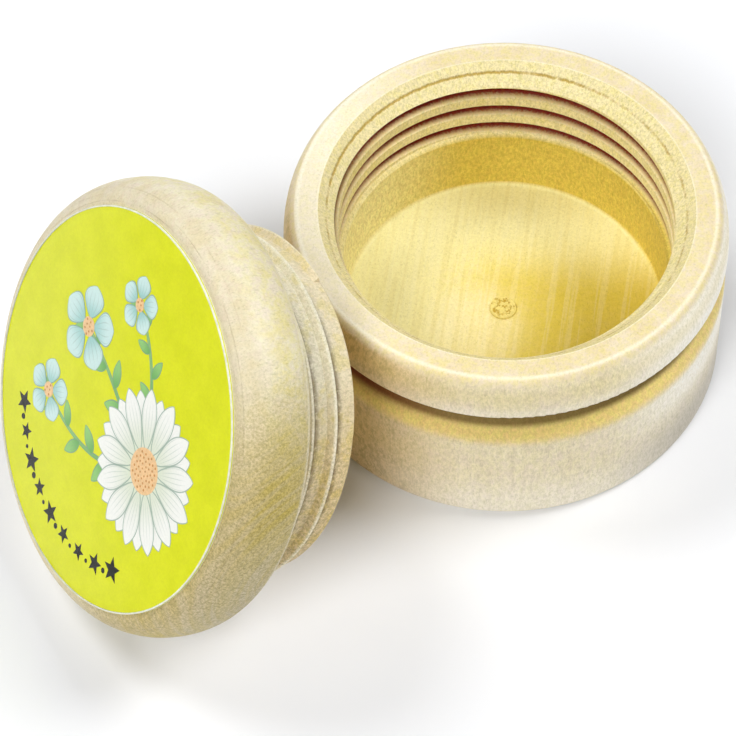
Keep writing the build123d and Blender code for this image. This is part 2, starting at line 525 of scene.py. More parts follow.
def make_jar_wood(wood):
    """Pale wood outside and yellow inside, with painted light and shade, painted shade dark in the
    thread's groove, and torn here and there.
    """
    material, graph, surface = new_material("jar_wood")
    vector = own_vector(graph)
    x, y, z = vector.parts()
    figure = {
        "Vector": graph.combine(x, y, z * 0.5),
        "Line Vector": graph.combine(x - y * 0.1, y, z),
        "Line Width": wood.line_width,
        "Line Length": wood.line_length,
        "Mottle Size": 0.6,
    }
    lathe, marks, lines = wood_marks(graph, wood, vector, figure)
    radius, height, angle = lathe
    growth, patch, mottle, speck, pore = marks
    inside, floor, wall, undercut, depth = jar_places(radius, height)

    clouds = (growth, patch, mottle)
    outer = jar_outside(wood, (inside, undercut), clouds, x, y, radius, height)
    inner = jar_inside(wood, (floor, wall), clouds, x, y)
    above = thread_phase(height, angle, GROOVE_HEIGHT)
    # Browner band just below each turn of the groove, between the ledge and the lead-in
    burnt = inside * above.ramp(1.5, 2.5) * height.ramp(LEDGE, LEDGE + 0.4)
    burnt = burnt * height.ramp(19.9, 19.5)
    tear = torn_ring(graph, radius, height, angle)
    nub, chips = torn_nub(vector, radius, height)
    # The groove's depth, jittered by the specks
    jittered_depth = (speck - 0.5) * 0.16 + depth
    whole = stained(
        inside.between(outer, inner),
        (burnt, 0.25, wood.stain),
        # Browner at the groove's edges, painted shade dark in its depth and olive towards the
        # front, with browner flecks
        (jittered_depth.ramp(0.04, 0.25), 0.4, wood.stain),
        (jittered_depth.ramp(0.16, 0.62), 1.0, wood.groove),
        (depth.ramp(0.15, 0.4) * y.ramp(11.0, 3.0), 0.6, wood.undercut),
        (depth.ramp(0.2, 0.5) * speck * mottle, 0.45, wood.scorch),
        (tear, 0.8, wood.tear),
        (nub, 0.15, wood.lemon),
        (chips, 0.9, wood.tear),
    )
    rougher = ((inside - floor) * 1.25).or_more(jar_side(inside, height) * 0.75) * 1.4 + 1.0
    whole = grained(graph, whole, speck, pore, rougher * wood.speck_depth, wood.pore_depth)

    sheen = patch * 0.12 + wood.roughness + inside * 0.12
    relief = lines * 0.6 + growth * 0.3 - pore * 0.8 - chips * 3.0 - tear * 4.0
    wood_surface(graph, surface, whole, sheen, relief)
    graph.fill(surface, {"Specular IOR Level": 0.2})
    return material


def lid_rings(graph, radius, height, angle):
    """Turning lines round the sticker, broken here and there."""
    first, second, third = (radius.near(*ring) for ring in LID_RINGS)
    broken = graph.combine(angle * 3.0, radius, 0.0).noise(1.0, 2.0, 0.6)
    return first.or_more(second).or_more(third) * height.ramp(4.2, 5.0) * broken.ramp(0.4, 0.65)


def make_lid_wood(wood):
    """Pale wood, browner on the side that the lid lies on, partly as painted shade, with painted
    shade between the turns of its thread and painted highlights on its edges and crests.
    """
    material, graph, surface = new_material("lid_wood")
    vector = own_vector(graph, lid_place())
    x, y, z = vector.parts()
    hooped = (y * y + z * 2.0 * z).math("SQRT")
    figure = {
        "Vector": vector,
        "Line Vector": graph.combine(hooped, x, y),
        "Line Width": 0.7,
        "Line Length": 9.0,
        "Patch Size": 2.2,
        "Mottle Size": 0.7,
    }
    lathe, marks, lines = wood_marks(graph, wood, vector, figure)
    radius, height, angle = lathe
    growth, patch, mottle, speck, pore = marks

    cap = height.ramp(0.0, 0.1)
    stub = 1.0 - cap
    slope = cap * height.ramp(6.5, 2.6)
    # Distance from the axis towards the side that the lid lies on
    lean = x * 0.985 + y * -0.17
    low = lean.ramp(6.0, 19.0)
    upper = lean.ramp(12.0, 0.0)
    rings = lid_rings(graph, radius, height, angle)
    # Distance down from the last turn of the ridge
    past = PITCH - thread_phase(height, angle, -RIDGE_START)
    thread = stub * radius.ramp(STUB_RADIUS, STUB_RADIUS + 0.15) * height.ramp(-1.0, -1.2)
    shade_line = thread * past.near(0.62, 0.3) * radius.ramp(CREST_RADIUS, CREST_RADIUS - 0.3)
    # Painted shade beside the crests on the lower side, mottled
    root_shade = thread * past.near(0.8, 0.6) * radius.ramp(CREST_RADIUS + 0.05, CREST_RADIUS - 0.25)
    root_shade = root_shade * lean.ramp(-3.0, 9.0) * mottle.ramp(-0.3, 0.6)
    # Painted highlight along the crests, broken by the mottles
    crest_highlight = stub * radius.ramp(CREST_RADIUS - 0.08, CREST_RADIUS + 0.02) * mottle.ramp(-0.4, 0.5)
    # Painted shade where the stub meets the cap
    neck_shade = stub * height.ramp(-2.6, -1.6) * radius.ramp(CREST_RADIUS - 0.1, CREST_RADIUS - 0.5)
    whole = stained(
        patch.between(wood.lid_light, wood.lid_dark),
        (slope * mottle, 0.42, wood.yellow),
        (cap * upper * mottle.ramp(0.45, 0.1), 0.35, wood.rosy),
        (cap * patch.ramp(0.35, 0.0), 0.3, wood.rosy),
        (slope * patch.ramp(0.6, 1.0), 0.22, wood.yellow),
        (growth, 0.2, wood.streak_and_shade),
        # Browner wood and painted shade on the lower side, and painted shade in grey along its
        # lowest edge
        (cap * low, 0.9, wood.low_brown_and_shade),
        (cap * low * growth, 0.3, wood.grey_shade),
        (cap * lean.ramp(19.0, 23.0), 0.4, wood.grey_shade),
        # Painted shade in a ring beside the sticker
        (cap * height.ramp(4.9, 6.5), 0.35, wood.streak_and_shade),
        (rings * lean.ramp(14.0, 0.0), 0.5, wood.streak_and_shade),
        # Painted highlight on the cap's back edge
        (cap * height.ramp(0.9, 0.4), 0.4, wood.edge),
        (stub, 0.2, wood.yellow),
        # Painted light on the stub's upper side
        (stub * lean.ramp(20.0, 4.0), 0.6, wood.edge),
        (stub * mottle, 0.2, wood.rosy),
        (stub * patch.ramp(0.5, 1.0), 0.35, wood.yellow),
        (stub * height.ramp(-5.5, -8.0), 0.24, wood.warm_tone_and_shade),
        # Painted shade on the stub's lower side, beside the crests and where the stub meets the
        # cap, and painted highlights on the crests
        (stub * lean.ramp(6.0, 15.0), 0.34, wood.warm_tone_and_shade),
        (stub * low * mottle.ramp(0.4, 0.9), 0.2, wood.undercut),
        (shade_line, 0.55, wood.undercut),
        (root_shade, 0.6, wood.undercut),
        (neck_shade, 0.55, wood.undercut),
        (crest_highlight, 0.55, wood.edge),
    )
    coarser = low.or_more(stub * 0.3) * 3.8 + 1.0
    whole = grained(graph, whole, speck, pore, coarser * wood.speck_depth, wood.pore_depth * 1.4)

    sheen = patch * 0.12 + wood.roughness
    relief = lines * 0.6 + growth * 0.3 - rings * 3.0 - pore * 0.8
    wood_surface(graph, surface, whole, sheen, relief)
    return material


def glossy_print(name):
    """Printed surface under clear film, fuller in gloss towards the sticker's left edge."""
    material, graph, surface = new_material(name)
    vector = own_vector(graph, lid_place())
    x, y, _ = vector.parts()
    across = x * math.cos(ARTWORK_TURN) + y * math.sin(ARTWORK_TURN)
    gloss = across.ramp(12.0, -16.0) * 0.65 + 0.35
    plain = {"Roughness": 0.5, "Specular IOR Level": 0.0, "Coat Roughness": 0.05}
    graph.fill(surface, {"Coat Weight": gloss, **plain})
    return material, graph, surface, vector


def make_sheet_print(sticker):
    """Plain ground of the print, with the fine grain of its ink."""
    material, graph, surface, vector = glossy_print("lime_print")
    whole = vector.clouds(0.35, 3.0, 0.6).between(sticker.sheet, sticker.sheet_deep)
    grain = vector.clouds(4.5, 2.0, 0.7) * 0.06 + 0.97
    graph.fill(surface, {"Base Color": graph.scaled(whole, grain)})
    return material


def make_shape_print(name, shade, root, line):
    """Petal or leaf print: deeper at its root, faint veins and a thin drawn outline."""
    material, graph, surface, vector = glossy_print(name)
    along, across, inset = (
        graph.out("ShaderNodeAttribute", None, "Fac", attribute_name=key)
        for key in ("along", "across", "inset")
    )
    beside = (across * 2.5).math("PINGPONG", 0.5)
    veins = beside.ramp(0.14, 0.0) * along.ramp(0.9, 0.55) * along.ramp(0.1, 0.3)
    whole = stained(
        shade,
        (along.ramp(0.75, 0.0), 0.8, root),
        (veins, 0.35, line),
        (inset.ramp(0.17, 0.08), 0.75, line),
    )
    grain = vector.clouds(4.5, 2.0, 0.7) * 0.05 + 0.975
    graph.fill(surface, {"Base Color": graph.scaled(whole, grain)})
    return material


def make_plain_print(name, shade):
    """Small printed marks, a little uneven."""
    material, graph, surface, vector = glossy_print(name)
    grain = vector.clouds(3.0, 3.0, 0.7) * 0.2 + 0.9
    graph.fill(surface, {"Base Color": graph.scaled(tuple(shade), grain)})
    return material


def make_film(sticker):
    """Clear film that only shows as a thin pale edge."""
    material, graph, surface = new_material("clear_film")
    vector = own_vector(graph, lid_place())
    radius = use_group(graph, "turned_coordinates", {"Vector": vector})[0]
    width = sticker.edge_width
    edge = radius.ramp(STICKER_RADIUS - width, STICKER_RADIUS - 0.6 * width)
    whole = vector.clouds(1.5, 2.0, 0.6).between(sticker.film_pale, sticker.film_dusty)
    graph.fill(surface, {"Base Color": whole, "Alpha": edge * 0.8, "Roughness": 0.12})
    return material


def make_adhesive(sticker):
    """Dried adhesive, milky and uneven."""
    material, graph, surface = new_material("adhesive")
    uneven = own_vector(graph, lid_place()).clouds(0.8, 3.0, 0.6)
    whole = uneven.between(sticker.adhesive_pale, sticker.adhesive_dull)
    graph.fill(surface, {"Base Color": whole, "Roughness": 0.5})
    return material


def copies_tree(name, sizes):
    """Tree that sets copies of the modifier's own mesh, with named sizes."""
    inputs = {"Geometry": "Geometry", **sizes, "Material": "Material"}
    return new_tree(name, "GeometryNodeTree", inputs, {"Geometry": "Geometry"})


def round_points(graph, count, angle, radius):
    """Points by their angle and distance from the origin."""
    place = graph.combine(angle.math("COSINE") * radius, angle.math("SINE") * radius, 0.0)
    return graph.out("GeometryNodePoints", {"Count": count, "Position": place})


def place_copies(graph, source, end, points, turn, size):
    """Ends a tree: copies on points, turned and scaled flat, made real and given their material."""
    inputs = {
        "Points": points,
        "Instance": source["Geometry"],
        "Rotation": graph.combine(0.0, 0.0, turn),
        "Scale": graph.combine(size, size, 1.0),
    }
    copies = graph.out("GeometryNodeInstanceOnPoints", inputs)
    plain = graph.out("GeometryNodeRealizeInstances", {0: copies})
    finish = {"Geometry": plain, "Material": source["Material"]}
    dressed = graph.out("GeometryNodeSetMaterial", finish)
    graph.fill(end, {"Geometry": dressed})


def make_arc_tree():
    """Copies set along an arc round the origin."""
    sizes = {"Copies": 12, "Radius": 1.0, "Start": 0.0, "Step": 0.5, "Turn": 0.0}
    sizes.update({"Size Spread": 0.0, "Seed": 0})
    graph, source, end = copies_tree("copies_on_an_arc", sizes)
    angle = graph.out("GeometryNodeInputIndex") * source["Step"] + source["Start"]
    points = round_points(graph, source["Copies"], angle, source["Radius"])
    spread = source["Size Spread"]
    inputs = {2: 1.0 - spread, 3: spread + 1.0, "Seed": source["Seed"]}
    size = graph.out("FunctionNodeRandomValue", inputs, 1, data_type="FLOAT")
    place_copies(graph, source, end, points, angle + source["Turn"], size)


def make_spiral_tree():
    """Copies in a sunflower's spiral, growing a little outwards."""
    sizes = {"Copies": 60, "Spacing": 0.3, "Growth": 0.5}
    graph, source, end = copies_tree("copies_in_a_spiral", sizes)
    index = graph.out("GeometryNodeInputIndex")
    angle = index * (math.pi * (3 - math.sqrt(5)))
    outwards = (index + 0.5).math("SQRT")
    points = round_points(graph, source["Copies"], angle, outwards * source["Spacing"])
    share = outwards / source["Copies"].math("SQRT")
    place_copies(graph, source, end, points, angle, share * source["Growth"] + 1.0)


def make_stem_tree():
    """Leaves set left and right in turn along a bent stem, smaller towards its end."""
    ends = dict.fromkeys(("Start", "Middle", "End"), "Vector")
    sizes = {**ends, "Leaves": 6, "Opening": 0.8, "Taper": 0.4}
    graph, source, end = copies_tree("leaves_on_a_stem", sizes)
    stem = graph.out("GeometryNodeCurveQuadraticBezier", {key: source[key] for key in ends})
    inputs = {"Curve": stem, "Count": source["Leaves"]}
    points = graph.out("GeometryNodeResampleCurve", inputs)
    side = graph.out("GeometryNodeInputIndex").math("MODULO", 2.0) * 2.0 - 1.0
    along, across, _ = graph.out("GeometryNodeInputTangent").parts()
    turn = side * source["Opening"] + across.math("ARCTAN2", along)
    share = graph.out("GeometryNodeSplineParameter", None, "Factor")
    place_copies(graph, source, end, points, turn, 1.0 - share * source["Taper"])


def new_object(name, data):
    """Object in the scene, at the origin."""
    piece = bpy.data.objects.new(name, data)
    bpy.context.scene.collection.objects.link(piece)
    return piece


def worked(mesh, tree_name, values):
    """Plain mesh that a Geometry Nodes tree makes of a mesh."""
    holder = new_object("holder", mesh)
    tree = bpy.data.node_groups[tree_name]
    modifier = holder.modifiers.new("copies", "NODES")
    modifier.node_group = tree
    for item in tree.interface.items_tree:
        if item.item_type == "SOCKET" and item.in_out == "INPUT" and item.name in values:
            modifier[item.identifier] = values[item.name]
    evaluated = holder.evaluated_get(bpy.context.evaluated_depsgraph_get())
    result = bpy.data.meshes.new_from_object(evaluated)
    holder.modifiers.clear()
    bpy.data.objects.remove(holder)
    return result


def mesh_of(name, build):
    """Plain mesh of a finished bmesh."""
    mesh = bpy.data.meshes.new(name)
    build.to_mesh(mesh)
    build.free()
    return mesh


def on_circle(radius, angle, height=0.0):
    """Point at a distance from the upright axis."""
    return radius * math.cos(angle), radius * math.sin(angle), height


def turned_mesh(name, profile, segments=STICKER_SEGMENTS):
    """Closed turned mesh of a profile of (radius, height), from the lower to the upper pole."""
    build = bmesh.new()
    rings = []
    for radius, height in profile[1:-1]:
        around = (on_circle(radius, 2 * math.pi * k / segments, height) for k in range(segments))
        rings.append([build.verts.new(place) for place in around])
    bottom = build.verts.new((0, 0, profile[0][1]))
    top = build.verts.new((0, 0, profile[-1][1]))
    for k in range(segments):
        after = (k + 1) % segments
        build.faces.new((bottom, rings[0][after], rings[0][k]))
        for lower, upper in zip(rings, rings[1:]):
            build.faces.new((lower[k], lower[after], upper[after], upper[k]))
        build.faces.new((rings[-1][k], rings[-1][after], top))
    mesh = mesh_of(name, build)
    mesh.shade_smooth()
    mesh.set_sharp_from_angle(angle=math.radians(35))
    return mesh


def disc_mesh(name, radius, bottom, top, segments=STICKER_SEGMENTS):
    """Disc between two heights."""
    across = (0, radius / 2, radius)
    profile = [(r, bottom) for r in across] + [(r, top) for r in reversed(across)]
    return turned_mesh(name, profile, segments)


def film_profile():
    """Film with a rounded upper edge, hollow underneath for the ink, on a narrow lip."""
    under = PRINT_TOP + FILM_HOLLOW
    foot = PRINT_TOP + LAYER_GAP
    halfway = 9.0
    profile = [(0, under), (halfway, under), (STICKER_RADIUS - FILM_LIP, under)]
    profile += [(STICKER_RADIUS - FILM_LIP, foot), (STICKER_RADIUS, foot)]
    for degrees in (0, 30, 60, 90):
        bend = math.radians(degrees)
        radius = STICKER_RADIUS - FILM_EDGE * (1 - math.cos(bend))
        profile.append((radius, STICKER_TOP - FILM_EDGE * (1 - math.sin(bend))))
    return [*profile, (halfway, STICKER_TOP), (0, STICKER_TOP)]


def thickened(build, thickness):
    """Gives a flat face region its thickness, upwards."""
    grown = bmesh.ops.extrude_face_region(build, geom=list(build.faces), use_keep_orig=True)["geom"]
    lifted = [item for item in grown if isinstance(item, bmesh.types.BMVert)]
    bmesh.ops.translate(build, verts=lifted, vec=(0, 0, thickness))
    bmesh.ops.recalc_face_normals(build, faces=list(build.faces))


def ribbon_mesh(name, path, half_width, thickness, rows=28, columns=8):
    """Thin shape along a path, with its own measures along, across and in from its outline."""
    build = bmesh.new()
    layers = [build.verts.layers.float.new(key) for key in ("along", "across", "inset")]
    grid = []
    for i in range(rows + 1):
        u = i / rows
        centre, beyond = Vector(path(u)), Vector(path(u + 0.001))
        sideways = Vector((-(beyond - centre).y, (beyond - centre).x)).normalized()
        line = []
        for j in range(columns + 1):
            v = 2 * j / columns - 1
            point = build.verts.new((*(centre + sideways * half_width(u) * v), 0))
            for layer, value in zip(layers, (u, v, (1 - abs(v)) * half_width(u))):
                point[layer] = value
            line.append(point)
        grid.append(line)
    for lower, upper in zip(grid, grid[1:]):
        for j in range(columns):
            build.faces.new((lower[j + 1], lower[j], upper[j], upper[j + 1]))
    bmesh.ops.remove_doubles(build, verts=list(build.verts), dist=0.0005)
    bmesh.ops.dissolve_degenerate(build, edges=list(build.edges), dist=0.0001)
    thickened(build, thickness)
    return mesh_of(name, build)


def petal_mesh(length, width, root, thickness, fullness=0.62):
    """Petal or leaf along X, blunt and widest beyond its middle."""

    def half_width(u):
        belly = math.sin(math.pi * u ** (math.log(0.5) / math.log(fullness)))
        return width / 2 * max(belly, 0.0) ** 0.75 + root / 2 * (1 - u) * min(1.0, 6 * u)

    return ribbon_mesh("petal", lambda u: (length * u, 0.0), half_width, thickness)


def star_mesh(reach, waist, points, thickness):
    """Flat star with one point on X."""
    build = bmesh.new()
    rim = []
    for k in range(2 * points):
        radius = waist if k % 2 else reach
        rim.append(build.verts.new(on_circle(radius, math.pi * k / points)))
    centre = build.verts.new((0, 0, 0))
    for k, corner in enumerate(rim):
        build.faces.new((centre, corner, rim[(k + 1) % len(rim)]))
    thickened(build, thickness)
    return mesh_of("star", build)


def arched(start, middle, end):
    """Point along a bent line through three guide points."""
    start, middle, end = Vector(start), Vector(middle), Vector(end)
    return lambda u: (1 - u) ** 2 * start + 2 * u * (1 - u) * middle + u ** 2 * end


def on_lid(mesh, centre=(0.0, 0.0), height=0.0, turn=0.0):
    """Moves a mesh drawn in millimetres to its place on the lid."""
    place = lid_place() @ Matrix.Scale(MM, 4) @ Matrix.Rotation(turn, 4, "Z")
    mesh.transform(place @ Matrix.Translation((*centre, height)))
    return mesh


def ink(layer):
    """Thickness of a shape on an ink layer, counted from 1."""
    return INK_ROOT + INK_STEP * layer


def lid_piece(name, meshes, centre=(0.0, 0.0)):
    """One object on the lid of one or more artwork meshes, moved onto the print."""
    build = bmesh.new()
    materials = []
    for mesh in meshes:
        start = len(build.faces)
        build.from_mesh(on_lid(mesh, centre, PRINT_TOP - INK_ROOT, ARTWORK_TURN))
        build.faces.ensure_lookup_table()
        material = next(item for item in mesh.materials if item)
        if material not in materials:
            materials.append(material)
        for face in build.faces[start:]:
            face.material_index = materials.index(material)
    mesh = mesh_of(name, build)
    for material in materials:
        mesh.materials.append(material)
    piece = new_object(name, mesh)
    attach(piece, "lid")


def layer_piece(name, mesh, material, body, node):
    """One of the sticker's own layers, in place of its CAD node."""
    mesh.materials.append(material)
    piece = new_object(name, on_lid(mesh))
    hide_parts(node)
    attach(piece, body)


def dress(node, material):
    """Gives a CAD node its material."""
    materials = frame["nodes"][node].data.materials
    materials.clear()
    materials.append(material)


def shade_prop(name, description, *screen):
    """Colour setting, from an 8-bit screen colour."""
    return FloatVectorProperty(
        name=name, description=description, subtype="COLOR",
        size=3, min=0, max=1, default=tone(*screen),
    )


def number_prop(name, description, default, low, high, subtype="NONE"):
    """Number setting between two limits."""
    return FloatProperty(
        name=name, description=description, subtype=subtype, default=default, min=low, max=high
    )


class ToothBoxWood(bpy.types.PropertyGroup):
    """Colours and figure of the turned wood"""

    outside_light: shade_prop("Outside light", "Lightest wood outside", 234, 219, 192)
    outside_dark: shade_prop("Outside dark", "Deeper patches outside", 229, 211, 174)
    lid_light: shade_prop("Lid light", "Lightest wood on the lid", 242, 237, 214)
    lid_dark: shade_prop("Lid dark", "Deeper patches on the lid", 236, 226, 190)
    yellow: shade_prop("Yellow", "Yellow mottles", 232, 220, 120)
    lemon: shade_prop("Lemon", "Greener yellow mottles inside", 232, 218, 84)
    rosy: shade_prop("Rosy", "Rosy grey mottles", 232, 212, 192)
    # Browner wood and painted shade on the lid's lower side
    low_brown_and_shade: shade_prop("Low side", "Browner wood on the lid's lower side", 176, 154, 50)
    # Painted shade in grey, low on the jar's right and on the lid's lower side
    grey_shade: shade_prop("Dull", "Dull grey wood low on both pieces", 196, 188, 172)
    # Painted light: the jar's upright side paler than its rim
    side: shade_prop("Side", "Wood on the jar's upright side", 244, 235, 208)
    # Painted light towards the jar's base, on its right's upper part and on the band's lower part
    foot: shade_prop("Foot", "Pale wood towards the jar's base", 255, 250, 236)
    # Warmer tone, and painted shade on the jar's front left and the stub's lower side
    warm_tone_and_shade: shade_prop("Warm side", "Warmer wood on the jar's left and the stub", 202, 158, 46)
    # Growth lines and mottles, and painted shade in a ring beside the sticker
    streak_and_shade: shade_prop("Streak", "Growth lines that show darker", 204, 186, 146)
    band: shade_prop("Band", "Side of the jar's band", 226, 210, 142)
    shoulder: shade_prop("Shoulder", "Golden wood of the shoulder under the band", 232, 200, 118)
    # Painted shade under the band, in the thread's groove and on the shaded sides of the jar and
    # the stub
    undercut: shade_prop("Undercut", "Dark wood in hollows", 106, 82, 34)
    # Painted highlights on the rim and the lid's edges and crests, painted light on the rim's left
    # and the stub's upper side, and paler growth lines on the floor
    edge: shade_prop("Burnished edge", "Pale wood on edges and crests", 254, 249, 228)
    inside_light: shade_prop("Inside light", "Lightest wood inside", 238, 218, 142)
    inside_dark: shade_prop("Inside dark", "Deeper patches inside", 234, 213, 118)
    # Painted light on the floor's left and back and on the wall's left
    painted_floor_light: shade_prop("Inside floor, light", "Paler yellow of floor and wall", 255, 250, 194)
    # Deeper yellow along growth lines, and painted shade towards the floor's right
    floor: shade_prop("Inside floor", "Deeper yellow of the floor", 205, 180, 54)
    lead_in: shade_prop("Lead-in", "Pale slope from the rim to the thread", 250, 240, 200)
    wall: shade_prop("Wall", "Wall below the thread", 224, 202, 92)
    stain: shade_prop("Stain", "Wood browned beside the thread's groove", 196, 148, 76)
    # Painted shade in dark red-brown, deep in the thread's groove and in the undercut's front left
    groove: shade_prop("Groove", "Wood burnt dark in grooves", 108, 10, 0)
    scorch: shade_prop("Scorch", "Browner flecks in the thread's groove", 150, 76, 20)
    tear: shade_prop("Torn fibres", "Torn fibres on the lead-in and the floor", 184, 148, 34)
    line_width: number_prop("Growth lines", "A growth line's width in millimetres", 0.55, 0.05, 5)
    line_length: number_prop("Line length", "A growth line's length in millimetres", 18.0, 1, 80)
    turning_spacing: number_prop("Turning lines", "Their spacing in millimetres", 0.22, 0.05, 3)
    speck_depth: number_prop("Specks", "How far specks change the colour", 0.12, 0, 1, "FACTOR")
    pore_depth: number_prop("Pores", "How dark the pores are", 0.1, 0, 1, "FACTOR")
    roughness: number_prop("Roughness", "Roughness of the smooth wood", 0.42, 0, 1, "FACTOR")


class ToothBoxSticker(bpy.types.PropertyGroup):
    """Colours and sizes of the sticker"""

    sheet: shade_prop("Sheet", "Ground colour of the print", 226, 230, 18)
    sheet_deep: shade_prop("Sheet, deeper", "Deeper clouds in the ground colour", 219, 224, 10)
    white: shade_prop("White petals", "Petals of the large flower", 246, 247, 240)
    white_root: shade_prop("White petals, root", "Roots of the white petals", 214, 224, 196)
    blue: shade_prop("Blue petals", "Petals of the small flowers", 208, 235, 230)
    blue_root: shade_prop("Blue petals, root", "Roots of the blue petals", 138, 196, 190)
    green: shade_prop("Leaves", "Leaves and stems", 148, 204, 118)
    green_root: shade_prop("Leaves, root", "Roots of the leaves", 98, 166, 84)
    peach: shade_prop("Flower hearts", "Hearts of the flowers", 240, 200, 148)
    seed_dots: shade_prop("Seeds", "Seeds on the flower hearts", 206, 146, 84)
    outline: shade_prop("Outline", "Thin drawn lines round the petals and leaves", 128, 158, 140)
    ink: shade_prop("Ink", "Small dark stars", 20, 22, 14)
    film_pale: shade_prop("Film, pale", "Cut edge of the film", 250, 250, 240)
    film_dusty: shade_prop("Film, dusty", "Dusty places on the film's cut edge", 232, 233, 214)
    adhesive_pale: shade_prop("Adhesive, pale", "Dried adhesive", 240, 240, 228)
    adhesive_dull: shade_prop("Adhesive, dull", "Duller clouds in the adhesive", 222, 220, 200)
    edge_width: number_prop("Edge width", "Cut edge of the film in millimetres", 0.2, 0.02, 2)
    petals: IntProperty(
        name="Petals", description="Petals of the large flower", default=13, min=5, max=24
    )
    flower_reach: number_prop("Large flower", "Its radius in millimetres", 8.2, 2, 12)
    seed: IntProperty(name="Seed", description="Seed of the stars' sizes", default=4, min=0, max=99)


class ToothBoxStage(bpy.types.PropertyGroup):
    """Table and light"""

    table: FloatVectorProperty(
        name="Table", description="Colour of the table", subtype="COLOR",
        size=3, min=0, max=1, default=(0.89, 0.9, 0.925),
    )
    front_strength: number_prop("Front", "Strength of the soft lamp in front", 1.75, 0, 20)
    right_strength: number_prop("Right", "Strength of the soft lamp at the right", 1.65, 0, 20)
    back_strength: number_prop("Back", "Strength of the soft lamp at the back left", 1.25, 0, 20)
    spread: number_prop("Spread", "Angle that a lamp fills", math.radians(26), 0, math.pi, "ANGLE")
    world_level: number_prop("Surroundings", "Level of the even light", 0.03, 0, 2)


class TOOTHBOX_OT_jar(bpy.types.Operator):
    """Dresses the jar in turned wood"""

    bl_idname = "toothbox.jar"
    bl_label = "Jar"

    def execute(self, context):
        dress("jar", make_jar_wood(context.scene.tooth_box_wood))
        return {"FINISHED"}


class TOOTHBOX_OT_lid(bpy.types.Operator):
    """Dresses the lid in turned wood"""

    bl_idname = "toothbox.lid"
    bl_label = "Lid"

    def execute(self, context):
        dress("lid", make_lid_wood(context.scene.tooth_box_wood))
        return {"FINISHED"}


class TOOTHBOX_OT_sticker(bpy.types.Operator):
    """Lays the sticker's adhesive, printed sheet and clear film on the lid"""

    bl_idname = "toothbox.sticker"
    bl_label = "Sticker"

    def execute(self, context):
        sticker = context.scene.tooth_box_sticker
        top = PRINT_BOTTOM - LAYER_GAP
        adhesive = disc_mesh("adhesive_film", STICKER_RADIUS, ADHESIVE_BOTTOM, top)
        glue = make_adhesive(sticker)
        layer_piece("adhesive_film", adhesive, glue, "lid_carrier", "label_adhesive")
        sheet = disc_mesh("printed_sheet", STICKER_RADIUS, PRINT_BOTTOM, PRINT_TOP)
        lime = make_sheet_print(sticker)
        layer_piece("printed_sheet", sheet, lime, "lid", "label_print")
        film = turned_mesh("gloss_layer", film_profile())
        layer_piece("gloss_layer", film, make_film(sticker), "lid", "label_gloss")
        return {"FINISHED"}


def ring_of(mesh, copies, radius, material, start, seed):
    """Copies of a petal all the way round, a little unlike in size."""
    values = {
        "Copies": copies, "Radius": radius, "Start": start, "Step": 2 * math.pi / copies,
        "Size Spread": 0.03, "Seed": seed, "Material": material,
    }
    return worked(mesh, "copies_on_an_arc", values)


def flower(name, place, petals, material, peach, dots, seed):
    """Flower of petals round a seeded heart, as one piece on the lid."""
    centre, reach, heart = place
    root_circle = 0.75 * heart
    length = reach - root_circle
    width = 1.18 * math.pi * reach / petals
    meshes = []
    if petals > SINGLE_ROW:
        under = petal_mesh(length * 0.94, width, 0.5, ink(3))
        meshes.append(ring_of(under, petals, root_circle, material, math.pi / petals, seed))
    petal = petal_mesh(length, width, 0.5, ink(4))
    meshes.append(ring_of(petal, petals, root_circle, material, 0.0, seed + 1))
    disc = disc_mesh("heart", heart, 0, ink(5), 48)
    disc.materials.append(peach)
    meshes.append(disc)
    dot = disc_mesh("dot", 0.1, 0, ink(6), 10)
    spacing = 0.3
    count = int((0.86 * heart / spacing) ** 2)
    values = {"Copies": count, "Spacing": spacing, "Growth": 0.35, "Material": dots}
    meshes.append(worked(dot, "copies_in_a_spiral", values))
    lid_piece(name, meshes, centre)


class TOOTHBOX_OT_flowers(bpy.types.Operator):
    """Prints the large white flower and the small blue ones"""

    bl_idname = "toothbox.flowers"
    bl_label = "Flowers"

    def execute(self, context):
        sticker = context.scene.tooth_box_sticker
        white = make_shape_print("white_petals", sticker.white, sticker.white_root, sticker.outline)
        blue = make_shape_print("blue_petals", sticker.blue, sticker.blue_root, sticker.outline)
        peach = make_plain_print("flower_heart", sticker.peach)
        dots = make_plain_print("heart_seeds", sticker.seed_dots)
        centre, heart = LARGE_FLOWER
        large = (centre, sticker.flower_reach, heart)
        flower("white_flower", large, sticker.petals, white, peach, dots, 1)
        for number, place in enumerate(SMALL_FLOWERS, 1):
            flower(f"blue_flower_{number}", place, 5, blue, peach, dots, 10 * number)
        return {"FINISHED"}


class TOOTHBOX_OT_leaves(bpy.types.Operator):
    """Prints the leafy stems"""

    bl_idname = "toothbox.leaves"
    bl_label = "Leaves"

    def execute(self, context):
        sticker = context.scene.tooth_box_sticker
        green = make_shape_print("green_leaves", sticker.green, sticker.green_root, sticker.outline)
        meshes = []
        for start, middle, end, leaves, length in STEMS:
            line = ribbon_mesh("stem", arched(start, middle, end), lambda u: 0.28 - 0.1 * u, ink(1))
            line.materials.append(green)
            values = {
                "Start": (*start, 0.0), "Middle": (*middle, 0.0), "End": (*end, 0.0),
                "Leaves": leaves, "Opening": 0.85, "Taper": 0.3, "Material": green,
            }
            leaf = petal_mesh(length, 0.42 * length, 0.3, ink(2), 0.48)
            meshes += [line, worked(leaf, "leaves_on_a_stem", values)]
        lid_piece("leafy_stems", meshes)
        return {"FINISHED"}


